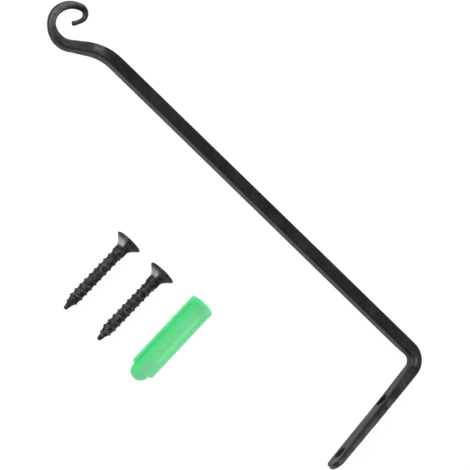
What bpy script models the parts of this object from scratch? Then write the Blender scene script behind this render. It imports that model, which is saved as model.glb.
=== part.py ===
"""Wall plant hanger: a forged hook bracket with its two wood screws and its wall plug.

The four pieces lie side by side on a table, as a kit is laid out before it is put up.
Metres, +Z up. The table is the plane Z = 0 and the kit is centred over the origin.
The hanger is one forged bar. It is shaped in its own frame, where +X leaves the wall,
+Y runs down the wall along the foot, and Z is the bar's width.
"""

import math
from collections import namedtuple

import bmesh
import bpy
import numpy as np
from mathutils import Matrix, Vector

# Bar, arm and bend
BAR_SIDE = 0.0064
ARM_RUN = 0.2071
BEND_ANGLE_DEG = 88.0
BEND_RADIUS = 0.0073
BAR_EDGE_SHARE = 0.17

# Scroll: the bar rises out of line, runs on, curls over its crown and ends in a small eye
RISE_TURN_DEG = 33.6
RISE_RADIUS = 0.0290
RISE_RUN = 0.0092
ENTRY_RADIUS = 0.0114
ENTRY_TURN_DEG = 37.0
CURL_RADIUS = 0.0087
CURL_TURN_DEG = 63.6
CROWN_RADIUS = 0.0122
CROWN_TURN_DEG = 61.2
EYE_RADIUS = 0.0035
EYE_TURN_DEG = 122.6
TAIL_RADIUS = 0.0123
TAIL_TURN_DEG = 25.4

# Drawn-down sizes of the bar along the scroll
RISE_SIDE = 0.0055
RUN_SIDE = 0.0050
ENTRY_SIDE = 0.0048
CURL_START_SIDE = 0.0038
CURL_SIDE = 0.0039
CROWN_SIDE = 0.0031
EYE_SIDE = 0.0022
TAIL_SIDE = 0.0020
RUN_EDGE_SHARE = 0.28
ENTRY_EDGE_SHARE = 0.45
CURL_EDGE_SHARE = 0.72
TAIL_EDGE_SHARE = 0.50

# The bar also twists a little as it is worked, its outer side turning upwards
RISE_TWIST_DEG = 18.0
ENTRY_TWIST_DEG = 14.0
CURL_TWIST_DEG = 26.0
CROWN_TWIST_DEG = 36.0

# Foot: the bar flattened into a plate with a round end and two screw holes
FOOT_LENGTH = 0.0753
FOOT_END_WIDTH = 0.0138
FOOT_END_ROUND = 0.0047
FOOT_END_THICKNESS = 0.0026
FOOT_HOLE_WIDTH = 0.0102
FOOT_HOLE_THICKNESS = 0.0043
FOOT_ROOT_WIDTH = 0.0070
FOOT_ROOT_THICKNESS = 0.0058
FOOT_EDGE_SHARE = 0.40
HOLE_SPACING = 0.0344
HOLE_TO_END = 0.0086
HOLE_CLEARANCE = 0.0002

# Wood screw, countersunk
THREAD_RADIUS = 0.00315
THREAD_ROOT_RADIUS = 0.0023
THREAD_PITCH = 0.0034
THREAD_RIB_DEPTH = 0.0011
THREAD_START = 0.0072
THREAD_RUNOUT = 0.0004
THREAD_PHASE_SHARE = 0.25
THREAD_FADE_IN_SHARE = 0.5
SCREW_LENGTH = 0.0460
SCREW_TIP_TAPER = 0.0062
SCREW_TIP_RADIUS = 0.0012
NECK_RADIUS = 0.0029
NECK_LENGTH = 0.0014
HEAD_RADIUS = 0.0070
HEAD_RIM = 0.0006
HEAD_CONE = 0.0042
HEAD_CONE_HOLLOW = 0.0004
RECESS_LENGTH = 0.0064
RECESS_WIDTH = 0.0013
RECESS_DEPTH = 0.0026
RECESS_TAPER_SHARE = 0.45

# Wall plug
PLUG_LENGTH = 0.0500
PLUG_RADIUS = 0.0047
PLUG_MOUTH_RADIUS = 0.0066
PLUG_MOUTH_LENGTH = 0.0012
PLUG_MOUTH_TAPER = 0.0040
PLUG_BORE_CLEARANCE = 0.0001
PLUG_BORE_DEPTH = 0.0410
PLUG_FIN_THICKNESS = 0.0026
PLUG_FIN_END = 0.0054
PLUG_FIN_SLOPE = 0.0010
PLUG_SLOT_WIDTH = 0.0009
PLUG_SLOT_START = 0.0080
PLUG_SLOT_LENGTH = 0.0290
PLUG_SLOT_ROLL_DEG = 40.0

# Where the loose pieces lie beside the hanger, measured in the hanger's own frame
SCREW_1_PLACE = (0.1535, 0.0693)
SCREW_2_PLACE = (0.1306, 0.0680)
PLUG_PLACE = (0.1045, 0.0648)
SCREW_HEADING_DEG = -0.2
PLUG_HEADING_DEG = -0.55
SCREW_ROLL_DEG = 30.0

# Fineness of the curved faces
CORNER_STEPS = 3
ARC_STEP_DEG = 9.0
END_STEPS = 7
STRAIGHT_STEPS = 4
HOLE_SIDES = 32
SCREW_SIDES = 24
THREAD_POINTS_PER_TURN = 12
PLUG_SIDES = 32
DOME_STEPS = 6
HEAD_CONE_STEPS = 4
SMOOTH_ANGLE_DEG = 35.0
MERGE_DISTANCE = 0.00002

CUT_OVERRUN = 0.0020
STRAIGHT_DEG = 180.0
SQUARE_DEG = 90.0

Leg = namedtuple("Leg", "length turn_deg steps thickness width edge_share twist_deg wall_share")
Station = namedtuple("Station", "x y heading thickness width edge_share twist_deg wall_share")


def new_collection(name):
    """Add an empty collection to the scene."""
    collection = bpy.data.collections.new(name)
    bpy.context.scene.collection.children.link(collection)
    return collection


def clear_scene():
    """Remove whatever the file holds."""
    for item in list(bpy.data.objects):
        bpy.data.objects.remove(item, do_unlink=True)


def make_material(name, colour, roughness, metallic):
    """A plain Principled finish."""
    material = bpy.data.materials.new(name)
    material.use_nodes = True
    shader = material.node_tree.nodes["Principled BSDF"]
    shader.inputs["Base Color"].default_value = (*colour, 1.0)
    shader.inputs["Roughness"].default_value = roughness
    shader.inputs["Metallic"].default_value = metallic
    return material


def add_object(name, mesh, collection):
    """Link a mesh into a collection as a named object."""
    item = bpy.data.objects.new(name, mesh)
    collection.objects.link(item)
    return item


def make_cutter(item):
    """Mark an object as a cutting tool that is never part of the model."""
    item.hide_render = True
    item.display_type = "WIRE"
    return item


def to_plain_mesh(item, collection, name):
    """Replace a curve or a modified object by its finished mesh."""
    bpy.context.view_layer.update()
    graph = bpy.context.evaluated_depsgraph_get()
    mesh = bpy.data.meshes.new_from_object(item.evaluated_get(graph), depsgraph=graph)
    shape = bmesh.new()
    shape.from_mesh(mesh)
    bmesh.ops.remove_doubles(shape, verts=shape.verts, dist=MERGE_DISTANCE)
    shape.to_mesh(mesh)
    shape.free()
    plain = add_object(name, mesh, collection)
    plain.matrix_world = item.matrix_world
    bpy.data.objects.remove(item, do_unlink=True)
    return plain


def combine(item, tool, operation):
    """Give an object a Boolean modifier that uses another object, which then goes with it."""
    tool.parent = item
    modifier = item.modifiers.new(operation.lower() + "_" + tool.name, "BOOLEAN")
    modifier.operation = operation
    modifier.solver = "EXACT"
    modifier.object = tool


def turned(name, profile, sides, collection):
    """Turn a profile, given as radius and height from the top down, about Z."""
    mesh = bpy.data.meshes.new(name)
    points = [(radius, 0.0, height) for radius, height in profile]
    edges = [(index, index + 1) for index in range(len(points) - 1)]
    mesh.from_pydata(points, edges, [])
    item = add_object(name, mesh, collection)
    screw = item.modifiers.new("turn", "SCREW")
    screw.axis = "Z"
    screw.angle = math.tau
    screw.steps = sides
    screw.render_steps = sides
    screw.use_merge_vertices = True
    screw.merge_threshold = MERGE_DISTANCE
    return item


def loft(name, sections, collection):
    """Skin a row of closed outlines that all have the same number of points."""
    shape = bmesh.new()
    rings = []
    for outline in sections:
        rings.append([shape.verts.new(point) for point in outline])
    count = len(rings[0])
    for ring, following in zip(rings, rings[1:]):
        for index in range(count):
            after = (index + 1) % count
            shape.faces.new((ring[index], ring[after], following[after], following[index]))
    shape.faces.new(list(reversed(rings[0])))
    shape.faces.new(rings[-1])
    bmesh.ops.recalc_face_normals(shape, faces=shape.faces)
    mesh = bpy.data.meshes.new(name)
    shape.to_mesh(mesh)
    shape.free()
    return add_object(name, mesh, collection)


def shade(item):
    """Smooth the round faces and keep the hard edges sharp."""
    item.data.shade_smooth()
    item.data.set_sharp_from_angle(angle=math.radians(SMOOTH_ANGLE_DEG))


def arc_leg(radius, turn_deg, side, edge_share, twist_deg):
    """A leg of the bar that follows an arc and ends with a square section."""
    length = radius * math.radians(abs(turn_deg))
    steps = math.ceil(abs(turn_deg) / ARC_STEP_DEG)
    return Leg(length, turn_deg, steps, side, side, edge_share, twist_deg, 0.0)


def straight_leg(length, side, edge_share, twist_deg):
    """A leg of the bar that runs straight and ends with a square section."""
    return Leg(length, 0.0, STRAIGHT_STEPS, side, side, edge_share, twist_deg, 0.0)


def foot_leg(length, thickness, width, edge_share):
    """A straight leg whose back lies flat on the wall, however thin it is hammered."""
    return Leg(length, 0.0, STRAIGHT_STEPS, thickness, width, edge_share, 0.0, 1.0)


def bend_turn_deg():
    """How far the bar turns where it leaves the wall."""
    return STRAIGHT_DEG - BEND_ANGLE_DEG


def arm_slope():
    """How far the arm leans from square to the wall."""
    return math.radians(bend_turn_deg() - SQUARE_DEG)


def bend_setback():
    """Length of foot and of arm that the bend takes up, from the crossing of the two."""
    return BEND_RADIUS * math.tan(math.radians(bend_turn_deg()) / 2)


def centre_crossing():
    """Height at which the middle lines of foot and arm cross, down from the arm's outer face."""
    return BAR_SIDE / 2 * (1 + math.sin(arm_slope())) / math.cos(arm_slope())


def hole_places():
    """Distances of the two screw holes down the foot."""
    lower = FOOT_LENGTH - HOLE_TO_END
    return lower - HOLE_SPACING, lower


def hole_radius():
    """The screws pass through the foot with a named clearance."""
    return THREAD_RADIUS + HOLE_CLEARANCE


def bar_legs():
    """The bar from the foot's round end, up the wall, along the arm and round the scroll."""
    upper_hole = hole_places()[0]
    foot_top = centre_crossing() + bend_setback()
    to_upper_hole = FOOT_LENGTH - FOOT_END_ROUND - upper_hole
    return (
        foot_leg(to_upper_hole, FOOT_HOLE_THICKNESS, FOOT_HOLE_WIDTH, FOOT_EDGE_SHARE),
        foot_leg(upper_hole - foot_top, FOOT_ROOT_THICKNESS, FOOT_ROOT_WIDTH, BAR_EDGE_SHARE),
        arc_leg(BEND_RADIUS, bend_turn_deg(), BAR_SIDE, BAR_EDGE_SHARE, 0.0),
        straight_leg(ARM_RUN, BAR_SIDE, BAR_EDGE_SHARE, 0.0),
        arc_leg(RISE_RADIUS, RISE_TURN_DEG, RISE_SIDE, BAR_EDGE_SHARE, RISE_TWIST_DEG),
        straight_leg(RISE_RUN, RUN_SIDE, RUN_EDGE_SHARE, RISE_TWIST_DEG),
        arc_leg(ENTRY_RADIUS, -ENTRY_TURN_DEG, ENTRY_SIDE, ENTRY_EDGE_SHARE, ENTRY_TWIST_DEG),
        arc_leg(ENTRY_RADIUS, -ENTRY_TURN_DEG, CURL_START_SIDE, CURL_EDGE_SHARE, ENTRY_TWIST_DEG),
        arc_leg(CURL_RADIUS, -CURL_TURN_DEG, CURL_SIDE, CURL_EDGE_SHARE, CURL_TWIST_DEG),
        arc_leg(CROWN_RADIUS, -CROWN_TURN_DEG, CROWN_SIDE, CURL_EDGE_SHARE, CROWN_TWIST_DEG),
        arc_leg(EYE_RADIUS, -EYE_TURN_DEG, EYE_SIDE, TAIL_EDGE_SHARE, CROWN_TWIST_DEG),
        arc_leg(TAIL_RADIUS, -TAIL_TURN_DEG, TAIL_SIDE, TAIL_EDGE_SHARE, CROWN_TWIST_DEG),
    )


def foot_end_stations():
    """The foot's round end, whose width grows as half an oval does."""
    stations = []
    for step in range(1, END_STEPS + 1):
        angle = math.pi / 2 * step / END_STEPS
        down = FOOT_LENGTH - FOOT_END_ROUND * (1 - math.cos(angle))
        width = FOOT_END_WIDTH * math.sin(angle)
        place = (BAR_SIDE / 2, down, -math.pi / 2)
        stations.append(Station(*place, FOOT_END_THICKNESS, width, FOOT_EDGE_SHARE, 0.0, 1.0))
    return stations


def bar_stations():
    """Walk along the legs and note place, heading and section at each step."""
    stations = foot_end_stations()
    for leg in bar_legs():
        start = stations[-1]
        x, y, heading = start.x, start.y, start.heading
        stride = leg.length / leg.steps
        turn = math.radians(leg.turn_deg) / leg.steps
        for step in range(1, leg.steps + 1):
            share = step / leg.steps
            x += stride * math.cos(heading + turn / 2)
            y += stride * math.sin(heading + turn / 2)
            heading += turn
            thickness = start.thickness + (leg.thickness - start.thickness) * share
            width = start.width + (leg.width - start.width) * share
            edge_share = start.edge_share + (leg.edge_share - start.edge_share) * share
            twist = start.twist_deg + (leg.twist_deg - start.twist_deg) * share
            on_wall = start.wall_share + (leg.wall_share - start.wall_share) * share
            stations.append(Station(x, y, heading, thickness, width, edge_share, twist, on_wall))
    return stations


def bar_section(station):
    """The rounded outline of the bar at a station, square to its run."""
    half_thickness = station.thickness / 2
    half_width = station.width / 2
    radius = min(half_thickness, half_width) * station.edge_share
    run = Vector((math.cos(station.heading), math.sin(station.heading), 0.0))
    twist = Matrix.Rotation(math.radians(station.twist_deg), 3, run)
    left = twist @ Vector((-run.y, run.x, 0.0))
    up = twist @ Vector((0.0, 0.0, 1.0))
    off_line = (BAR_SIDE / 2 - half_thickness) * station.wall_share
    centre = Vector((station.x, station.y, 0.0)) - left * off_line
    outline = []
    for corner, (side_sign, up_sign) in enumerate(((1, 1), (-1, 1), (-1, -1), (1, -1))):
        for step in range(CORNER_STEPS + 1):
            angle = math.pi / 2 * (corner + step / CORNER_STEPS)
            side = side_sign * (half_thickness - radius) + radius * math.cos(angle)
            rise = up_sign * (half_width - radius) + radius * math.sin(angle)
            outline.append(centre + left * side + up * rise)
    return outline


def make_hanger(parts, cutters):
    """Forge the bar: loft its sections along the legs, then punch the two screw holes."""
    sections = [bar_section(station) for station in bar_stations()]
    hanger = loft("forged_hanger", sections, parts)
    for number, place in enumerate(hole_places(), start=1):
        bpy.ops.mesh.primitive_cylinder_add(
            vertices=HOLE_SIDES, radius=hole_radius(), depth=BAR_SIDE + CUT_OVERRUN * 2,
            location=(BAR_SIDE / 2, place, 0), rotation=(0, math.pi / 2, 0),
        )
        punch = bpy.context.object
        punch.name = "hole_punch_" + str(number)
        move_to(punch, cutters)
        make_cutter(punch)
        combine(hanger, punch, "DIFFERENCE")
    return hanger


def move_to(item, collection):
    """Take an object out of its collections and put it in this one."""
    for holder in list(item.users_collection):
        holder.objects.unlink(item)
    collection.objects.link(item)


def screw_profile():
    """Outer outline of the screw without its thread, from the head's middle to the point."""
    cone_end = -(HEAD_RIM + HEAD_CONE)
    neck_end = cone_end - NECK_LENGTH
    taper_start = -(SCREW_LENGTH - SCREW_TIP_TAPER)
    point_start = -(SCREW_LENGTH - SCREW_TIP_RADIUS)
    profile = [
        (0.0, 0.0),
        (HEAD_RADIUS - HEAD_RIM / 2, 0.0),
        (HEAD_RADIUS, -HEAD_RIM / 2),
        (HEAD_RADIUS, -HEAD_RIM),
    ]
    for step in range(1, HEAD_CONE_STEPS):
        share = step / HEAD_CONE_STEPS
        straight = HEAD_RADIUS + (NECK_RADIUS - HEAD_RADIUS) * share
        hollow = HEAD_CONE_HOLLOW * math.sin(math.pi * share)
        profile.append((straight - hollow, -(HEAD_RIM + HEAD_CONE * share)))
    profile.extend((
        (NECK_RADIUS, cone_end),
        (NECK_RADIUS, neck_end),
        (THREAD_ROOT_RADIUS, neck_end - (NECK_RADIUS - THREAD_ROOT_RADIUS)),
        (THREAD_ROOT_RADIUS, taper_start),
    ))
    for step in range(DOME_STEPS):
        angle = math.pi / 2 * step / DOME_STEPS
        radius = SCREW_TIP_RADIUS * math.cos(angle)
        profile.append((radius, point_start - SCREW_TIP_RADIUS * math.sin(angle)))
    profile.append((0.0, -SCREW_LENGTH))
    return profile


def root_radius_at(depth):
    """Radius of the screw's core at a depth below the head's top."""
    taper_start = SCREW_LENGTH - SCREW_TIP_TAPER
    if depth < taper_start:
        return THREAD_ROOT_RADIUS
    share = (depth - taper_start) / (SCREW_TIP_TAPER - SCREW_TIP_RADIUS)
    return THREAD_ROOT_RADIUS + (SCREW_TIP_RADIUS - THREAD_ROOT_RADIUS) * share


def make_thread(collection):
    """The thread: a pointed rib wound along the core, fading out at both ends."""
    thread_end = SCREW_LENGTH - SCREW_TIP_RADIUS * 2
    turns = (thread_end - THREAD_START) / THREAD_PITCH
    count = math.ceil(turns * THREAD_POINTS_PER_TURN)
    curve = bpy.data.curves.new("thread_rib", "CURVE")
    curve.dimensions = "3D"
    curve.twist_mode = "Z_UP"
    curve.bevel_depth = THREAD_RIB_DEPTH
    curve.bevel_resolution = 0
    curve.use_fill_caps = True
    spline = curve.splines.new("POLY")
    spline.points.add(count)
    height = THREAD_RADIUS - THREAD_ROOT_RADIUS
    for index in range(count + 1):
        turned_by = math.tau * (index + THREAD_PHASE_SHARE) / THREAD_POINTS_PER_TURN
        depth = THREAD_START + THREAD_PITCH * index / THREAD_POINTS_PER_TURN
        fade_in = index / (THREAD_POINTS_PER_TURN * THREAD_FADE_IN_SHARE)
        fade = min(1.0, fade_in, (count - index) / THREAD_POINTS_PER_TURN)
        crest = root_radius_at(depth) + (height + THREAD_RUNOUT) * fade - THREAD_RUNOUT
        radius = crest - THREAD_RIB_DEPTH
        spline.points[index].co = (
            radius * math.cos(turned_by), -radius * math.sin(turned_by), -depth, 1.0,
        )
    item = bpy.data.objects.new("thread_rib", curve)
    collection.objects.link(item)
    return to_plain_mesh(item, collection, "thread_rib_solid")


def make_recess(collection):
    """A cross-shaped driver recess that narrows as it goes down."""
    long = RECESS_LENGTH / 2
    narrow = RECESS_WIDTH / 2
    arm = ((long, -narrow), (long, narrow), (narrow, narrow))
    outline = []
    for quarter in range(4):
        turn = Matrix.Rotation(quarter * math.pi / 2, 2)
        outline.extend(turn @ Vector(point) for point in arm)
    levels = ((CUT_OVERRUN, 1.0), (0.0, 1.0), (-RECESS_DEPTH, RECESS_TAPER_SHARE))
    sections = []
    for height, share in levels:
        sections.append([(point.x * share, point.y * share, height) for point in outline])
    return make_cutter(loft("driver_recess", sections, collection))


def make_screw_mesh(cutters):
    """Turn the screw, wind its thread on and cut its recess."""
    core = turned("screw_core", screw_profile(), SCREW_SIDES, cutters)
    core = to_plain_mesh(core, cutters, "screw_body")
    combine(core, make_thread(cutters), "UNION")
    combine(core, make_recess(cutters), "DIFFERENCE")
    finished = to_plain_mesh(core, cutters, "screw_finished")
    mesh = finished.data
    for tool in ("screw_finished", "thread_rib_solid", "driver_recess"):
        bpy.data.objects.remove(bpy.data.objects[tool], do_unlink=True)
    mesh.name = "wood_screw"
    return mesh


def plug_profile():
    """Outer outline of the plug's round body, from the mouth down to the nose."""
    profile = [
        (0.0, 0.0),
        (PLUG_MOUTH_RADIUS, 0.0),
        (PLUG_MOUTH_RADIUS, -PLUG_MOUTH_LENGTH),
        (PLUG_RADIUS, -(PLUG_MOUTH_LENGTH + PLUG_MOUTH_TAPER)),
    ]
    dome_start = -(PLUG_LENGTH - PLUG_RADIUS)
    for step in range(DOME_STEPS):
        angle = math.pi / 2 * step / DOME_STEPS
        profile.append((PLUG_RADIUS * math.cos(angle), dome_start - PLUG_RADIUS * math.sin(angle)))
    profile.append((0.0, -PLUG_LENGTH))
    return profile


def make_fins(collection):
    """The two side fins, one flat bar through the plug that is sloped at its lower end."""
    long = PLUG_LENGTH - PLUG_FIN_END
    reach = PLUG_MOUTH_RADIUS
    step = PLUG_FIN_SLOPE
    half = PLUG_FIN_THICKNESS / 2
    outline = (
        (-reach, -PLUG_MOUTH_LENGTH / 2),
        (reach, -PLUG_MOUTH_LENGTH / 2),
        (reach, -long + step),
        (reach - step, -long),
        (step - reach, -long),
        (-reach, -long + step),
    )
    sections = [[(x, side, z) for x, z in outline] for side in (-half, half)]
    return make_cutter(loft("plug_fins", sections, collection))


def make_bore(collection):
    """The bore that the screw bites into, closed below by the nose."""
    radius = THREAD_ROOT_RADIUS + PLUG_BORE_CLEARANCE
    profile = [
        (0.0, CUT_OVERRUN),
        (radius, CUT_OVERRUN),
        (radius, radius - PLUG_BORE_DEPTH),
        (0.0, -PLUG_BORE_DEPTH),
    ]
    return make_cutter(turned("plug_bore", profile, PLUG_SIDES, collection))


def make_slot(collection):
    """The slot that lets the plug spread, cut right through its two walls."""
    bpy.ops.mesh.primitive_cube_add(size=1.0)
    slot = bpy.context.object
    slot.name = "plug_slot"
    size = Vector((PLUG_SLOT_WIDTH, PLUG_MOUTH_RADIUS * 2 + CUT_OVERRUN, PLUG_SLOT_LENGTH))
    down = -(PLUG_SLOT_START + PLUG_SLOT_LENGTH / 2)
    turn = Matrix.Rotation(math.radians(PLUG_SLOT_ROLL_DEG), 4, "Z")
    slot.data.transform(turn @ Matrix.Translation((0, 0, down)) @ Matrix.Diagonal((*size, 1)))
    move_to(slot, collection)
    return make_cutter(slot)


def make_plug(parts, cutters):
    """Turn the plug, add its fins, bore it and slot it."""
    blank = turned("plug_blank", plug_profile(), PLUG_SIDES, cutters)
    plug = to_plain_mesh(blank, parts, "wall_plug")
    combine(plug, make_fins(cutters), "UNION")
    combine(plug, make_bore(cutters), "DIFFERENCE")
    combine(plug, make_slot(cutters), "DIFFERENCE")
    return plug


def world_points(item):
    """Corners of an object's finished mesh, and its triangles."""
    bpy.context.view_layer.update()
    graph = bpy.context.evaluated_depsgraph_get()
    mesh = item.evaluated_get(graph).to_mesh()
    mesh.calc_loop_triangles()
    matrix = item.matrix_world
    points = np.array([matrix @ vertex.co for vertex in mesh.vertices])
    triangles = np.array([triangle.vertices[:] for triangle in mesh.loop_triangles])
    return points, triangles


def centre_of_mass(points, triangles):
    """Volume centre of a closed mesh."""
    first, second, third = (points[triangles[:, index]] for index in range(3))
    volumes = np.einsum("ij,ij->i", first, np.cross(second, third))
    return (volumes[:, None] * (first + second + third)).sum(axis=0) / (volumes.sum() * 4)


def resting_tilt(item, axis):
    """Angle by which a lying object rolls about a level axis until it rests."""
    points, triangles = world_points(item)
    across = np.cross((0.0, 0.0, 1.0), axis)
    middle = centre_of_mass(points, triangles) @ across
    outline = sorted(zip(points @ across, points[:, 2]))
    hull = []
    for point in outline:
        while len(hull) > 1 and bends_down(hull[-2], hull[-1], point):
            hull.pop()
        hull.append(point)
    for left, right in zip(hull, hull[1:]):
        if left[0] <= middle <= right[0]:
            return -math.atan2(right[1] - left[1], right[0] - left[0])
    return 0.0


def bends_down(first, second, third):
    """Whether the middle one of three points lies on or above the line of the others."""
    rise = (second[0] - first[0]) * (third[1] - first[1])
    return rise - (third[0] - first[0]) * (second[1] - first[1]) <= 0


def lay_down(item, axis, heading_deg, place):
    """Let a lying object roll until it rests, turn it to its heading and set it on the table."""
    tilt = Matrix.Rotation(resting_tilt(item, axis), 4, Vector(axis))
    heading = Matrix.Rotation(math.radians(heading_deg), 4, "Z")
    item.matrix_world = heading @ tilt @ item.matrix_world
    lowest = world_points(item)[0][:, 2].min()
    item.matrix_world = Matrix.Translation((*place, -lowest)) @ item.matrix_world


def centre_kit(items):
    """Hang the pieces on one empty and centre them over the origin."""
    clouds = np.concatenate([world_points(item)[0] for item in items])
    middle = (clouds.min(axis=0) + clouds.max(axis=0)) / 2
    bpy.ops.object.empty_add()
    holder = bpy.context.object
    holder.name = "kit_centre"
    for item in items:
        item.parent = holder
    holder.location = (-middle[0], -middle[1], 0)


def build():
    """Make the four pieces and lay them out."""
    clear_scene()
    parts = new_collection("wall_plant_hanger")
    cutters = new_collection("cutters")
    black_paint = make_material("black_paint", (0.020, 0.020, 0.022), 0.45, 0.0)
    black_oxide = make_material("black_oxide", (0.030, 0.030, 0.032), 0.38, 0.6)
    green_plastic = make_material("green_plastic", (0.12, 0.68, 0.27), 0.35, 0.0)

    hanger = make_hanger(parts, cutters)
    hanger.data.materials.append(black_paint)
    lay_down(hanger, (math.cos(arm_slope()), math.sin(arm_slope()), 0.0), 0.0, (0.0, 0.0))

    level = Matrix.Rotation(math.pi / 2, 4, "X")
    screw_mesh = make_screw_mesh(cutters)
    screw_mesh.materials.append(black_oxide)
    screws = []
    for number, place in enumerate((SCREW_1_PLACE, SCREW_2_PLACE), start=1):
        screw = add_object("wood_screw_" + str(number), screw_mesh, parts)
        roll = Matrix.Rotation(math.radians(SCREW_ROLL_DEG), 4, "Z")
        screw.matrix_world = level @ roll
        lay_down(screw, (1.0, 0.0, 0.0), SCREW_HEADING_DEG, place)
        screws.append(screw)

    plug = make_plug(parts, cutters)
    plug.data.materials.clear()
    plug.data.materials.append(green_plastic)
    plug.matrix_world = level
    lay_down(plug, (1.0, 0.0, 0.0), PLUG_HEADING_DEG, PLUG_PLACE)

    items = [hanger, *screws, plug]
    for item in items:
        shade(item)
    centre_kit(items)
    bpy.context.view_layer.update()


build()
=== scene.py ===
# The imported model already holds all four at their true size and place. This lesson dresses them:
# it rebuilds each piece in the same place with more detail, and gives it a finish, light and a
# camera. Everything is in metres. The table is Z = 0, X runs along the arm and Y along the foot.

import math
from collections import namedtuple

import bmesh
import bpy
import numpy as np
from mathutils import Matrix, Vector


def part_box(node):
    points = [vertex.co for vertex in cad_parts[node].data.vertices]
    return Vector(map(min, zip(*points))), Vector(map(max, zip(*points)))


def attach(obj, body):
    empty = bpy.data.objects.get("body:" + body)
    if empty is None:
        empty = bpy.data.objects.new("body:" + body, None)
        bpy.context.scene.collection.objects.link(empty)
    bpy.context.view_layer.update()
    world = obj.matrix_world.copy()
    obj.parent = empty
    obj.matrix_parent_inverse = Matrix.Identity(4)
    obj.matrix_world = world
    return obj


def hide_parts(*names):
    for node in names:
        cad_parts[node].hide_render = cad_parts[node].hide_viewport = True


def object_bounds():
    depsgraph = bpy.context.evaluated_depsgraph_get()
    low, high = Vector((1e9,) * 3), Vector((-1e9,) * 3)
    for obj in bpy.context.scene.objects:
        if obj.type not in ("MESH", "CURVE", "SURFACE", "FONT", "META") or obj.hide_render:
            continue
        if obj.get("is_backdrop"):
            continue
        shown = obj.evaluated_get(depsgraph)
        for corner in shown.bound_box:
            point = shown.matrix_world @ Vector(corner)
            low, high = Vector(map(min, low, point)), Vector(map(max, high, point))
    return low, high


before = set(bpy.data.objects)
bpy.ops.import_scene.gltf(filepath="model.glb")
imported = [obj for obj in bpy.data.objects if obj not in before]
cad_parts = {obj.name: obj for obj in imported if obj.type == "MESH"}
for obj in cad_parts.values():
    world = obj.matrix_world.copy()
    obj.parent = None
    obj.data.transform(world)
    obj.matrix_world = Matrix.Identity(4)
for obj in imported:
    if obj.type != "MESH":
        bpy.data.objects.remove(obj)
cad_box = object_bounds()
scene = bpy.context.scene

# %% [markdown]
# ## One way to write node trees
#
# A script of twenty links is hard to read. Here a small class holds one socket and answers to +,
# -, * and /, so that a pattern is written as a sum, and Python adds the Math nodes. Every other
# kind of node comes from one method, which takes the node's type, its settings and what goes into
# its sockets. The class serves the shaders and the Geometry Nodes, which share their maths nodes.
# Its last four methods, note, step, stamped and less, are for Geometry Nodes alone.

# %% A wire that does arithmetic
class Wire:
    """One socket of a node tree. Arithmetic on it adds the node that works it out."""

    def __init__(self, tree, socket=None):
        self.tree = tree
        self.socket = socket

    def node(self, kind, settings=None, values=None, output=0):
        """Add any node: its settings first, then a value or a wire for each socket named."""
        made = self.tree.nodes.new(kind)
        for label, setting in (settings or {}).items():
            setattr(made, label, setting)
        for label, value in (values or {}).items():
            if isinstance(label, int):
                socket = made.inputs[label]
            else:
                socket = next(s for s in made.inputs if label in (s.identifier, s.name))
            if isinstance(value, Wire):
                self.tree.links.new(value.socket, socket)
            else:
                socket.default_value = value
        return Wire(self.tree, made.outputs[output])

    def maths(self, operation, *terms):
        """A Math node, or a Vector Math node where one of the terms is a vector."""
        wires = [term for term in terms if isinstance(term, Wire)]
        vectors = any(wire.socket.type == "VECTOR" for wire in wires)
        kind = "ShaderNodeVectorMath" if vectors else "ShaderNodeMath"
        values = {}
        for place, term in enumerate(terms):
            plain = vectors and not isinstance(term, (Wire, tuple))
            values[place] = (term, term, term) if plain else term
        return self.node(kind, {"operation": operation}, values)

    def __add__(self, other):
        return self.maths("ADD", self, other)

    def __sub__(self, other):
        return self.maths("SUBTRACT", self, other)

    def __mul__(self, other):
        return self.maths("MULTIPLY", self, other)

    def __truediv__(self, other):
        return self.maths("DIVIDE", self, other)

    def __rsub__(self, other):
        return self.maths("SUBTRACT", other, self)

    def __rtruediv__(self, other):
        return self.maths("DIVIDE", other, self)

    __radd__ = __add__
    __rmul__ = __mul__

    def rise(self, low, high):
        """0 below low, 1 above high, and a soft ramp between."""
        ends = {"Value": self, "From Min": low, "From Max": high}
        return self.node("ShaderNodeMapRange", {"interpolation_type": "SMOOTHSTEP"}, ends)

    def parts(self):
        """The X, Y and Z of a vector."""
        split = self.node("ShaderNodeSeparateXYZ", None, {0: self})
        outputs = split.socket.node.outputs
        return [Wire(self.tree, outputs[axis]) for axis in range(3)]

    def note(self, label, vector=False):
        """In Geometry Nodes, a note that the mesh holds on its points."""
        settings = {"data_type": "FLOAT_VECTOR" if vector else "FLOAT"}
        return self.node("GeometryNodeInputNamedAttribute", settings, {"Name": label})

    def step(self, kind, **values):
        """The next step of a recipe: a Geometry Nodes node that this wire goes into first."""
        return self.node("GeometryNode" + kind, None, {0: self, **values})

    def stamped(self, label, value):
        """This geometry with a new note on its points."""
        return self.step("StoreNamedAttribute", Name=label, Value=value)

    def less(self, cutter):
        """This geometry with the mesh of an object cut out of it."""
        tool = self.node("GeometryNodeObjectInfo", None, {"Object": cutter}, "Geometry")
        settings = {"operation": "DIFFERENCE", "solver": "EXACT"}
        return self.node("GeometryNodeMeshBoolean", settings, {"Mesh 1": self, "Mesh 2": tool})


print("a wire knows", [word for word in dir(Wire) if not word.startswith("__")])

# %% [markdown]
# ## From a recipe to a plain mesh
#
# A Geometry Nodes tree is a recipe: it starts from a small mesh with notes on its points, such as
# how thick the bar is there, and grows the finished shape from it. It is run once for each piece,
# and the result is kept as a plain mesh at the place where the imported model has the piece.

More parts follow.
